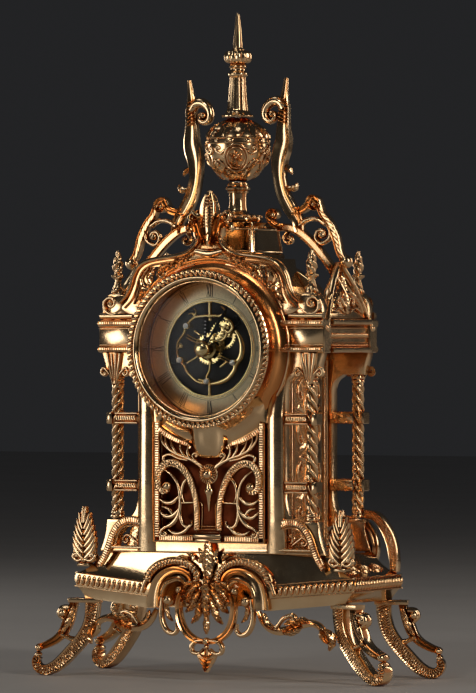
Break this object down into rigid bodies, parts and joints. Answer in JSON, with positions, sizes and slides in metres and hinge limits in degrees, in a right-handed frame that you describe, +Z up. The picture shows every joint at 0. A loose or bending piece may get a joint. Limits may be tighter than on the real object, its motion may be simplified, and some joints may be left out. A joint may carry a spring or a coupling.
{
  "type": "skeleton clock",
  "caption": "Gilt baroque mantel clock: pierced cast frames on scroll feet, round skeleton dial under glass, urn finial between scroll brackets, quartz movement and a hinged rear door.",
  "frame": {"origin": "centre of the footprint on the floor, under the finial", "axes": "+X to the clock's right as seen from the front, -Y towards the viewer of the dial, +Z up"},
  "size_m": [0.257, 0.116, 0.424],
  "materials": {
    "gilt": "polished rose gilt plating",
    "brass": "polished",
    "dial": "satin champagne lacquer",
    "glass": "clear, polished",
    "black": "gloss black",
    "plastic": "moulded, matt",
    "copper_coil": "enamelled copper wire",
    "steel": "satin"
  },
  "bodies": {
    "body": {"base_plinth": "gilt", "front_apron": "gilt", "foot_front_left": "gilt", "foot_front_right": "gilt", "foot_rear_left": "gilt", "foot_rear_right": "gilt", "leaf_finial_left": "gilt", "leaf_finial_right": "gilt", "front_frame": "gilt", "rear_frame": "gilt", "side_panel_left": "gilt", "side_panel_right": "gilt", "side_cornice_left": "gilt", "side_cornice_right": "gilt", "side_crest_left": "gilt", "side_crest_right": "gilt", "column_front_left": "gilt", "column_front_right": "gilt", "column_rear_left": "gilt", "column_rear_right": "gilt", "front_grille": "gilt", "front_crest": "gilt", "pinnacle_front_left": "gilt", "pinnacle_front_right": "gilt", "pinnacle_rear_left": "gilt", "pinnacle_rear_right": "gilt", "roof_shell": "gilt", "pedestal": "gilt", "urn_stem": "gilt", "urn": "gilt", "spire": "gilt", "finial_tie_rod": "steel", "scroll_bracket_left": "gilt", "scroll_bracket_right": "gilt", "dial_drum": "gilt", "bezel": "gilt", "dial_glass": "glass", "chapter_ring": "dial", "movement_plate": "black", "skeleton_bridge": "brass", "bridge_screw_1": "brass", "bridge_screw_2": "brass", "bridge_screw_3": "brass", "bridge_screw_4": "brass", "drive_coil": "copper_coil", "movement_case": "plastic", "battery": "steel", "door_hinge_pin": "steel"},
    "minute_arbor": {"centre_wheel": "brass", "cannon_pinion": "brass", "minute_hand": "black", "hand_nut": "brass"},
    "hour_pipe": {"hour_wheel": "brass", "hour_hand": "black"},
    "minute_wheel": {"minute_wheel": "brass"},
    "third_wheel": {"third_wheel": "brass"},
    "rotor": {"rotor": "steel"},
    "setting_knob": {"setting_knob": "plastic"},
    "rear_door": {"rear_door": "gilt"},
    "battery_cover": {"battery_cover": "plastic"}
  },
  "joints": [
    {"name": "minute_turn", "type": "hinge", "parent": "body", "child": "minute_arbor", "pos_m": [0, 0, 0.2095], "axis": [0, 1, 0], "continuous": true},
    {"name": "hour_turn", "type": "hinge", "parent": "body", "child": "hour_pipe", "pos_m": [0, 0, 0.2095], "axis": [0, 1, 0], "continuous": true},
    {"name": "minute_wheel_turn", "type": "hinge", "parent": "body", "child": "minute_wheel", "pos_m": [0.00848, 0, 0.21799], "axis": [0, 1, 0], "continuous": true},
    {"name": "third_wheel_turn", "type": "hinge", "parent": "body", "child": "third_wheel", "pos_m": [-0.012, 0, 0.2095], "axis": [0, 1, 0], "continuous": true},
    {"name": "rotor_turn", "type": "hinge", "parent": "body", "child": "rotor", "pos_m": [0.014, 0, 0.2105], "axis": [0, 1, 0], "continuous": true},
    {"name": "setting_knob_turn", "type": "hinge", "parent": "body", "child": "setting_knob", "pos_m": [0.01697, 0, 0.22647], "axis": [0, 1, 0], "continuous": true},
    {"name": "rear_door_hinge", "type": "hinge", "parent": "body", "child": "rear_door", "pos_m": [-0.0505, 0.0414, 0.2095], "axis": [0, 0, 1], "range_deg": [0, 110]},
    {"name": "battery_cover_slide", "type": "slide", "parent": "body", "child": "battery_cover", "axis": [0, 0, -1], "range_m": [0, 0.022]}
  ],
  "couplings": [
    {"joint": "hour_turn", "follows": "minute_turn", "ratio": 0.083333},
    {"joint": "minute_wheel_turn", "follows": "minute_turn", "ratio": -0.33333},
    {"joint": "third_wheel_turn", "follows": "minute_turn", "ratio": -5},
    {"joint": "setting_knob_turn", "follows": "minute_turn", "ratio": 1}
  ]
}
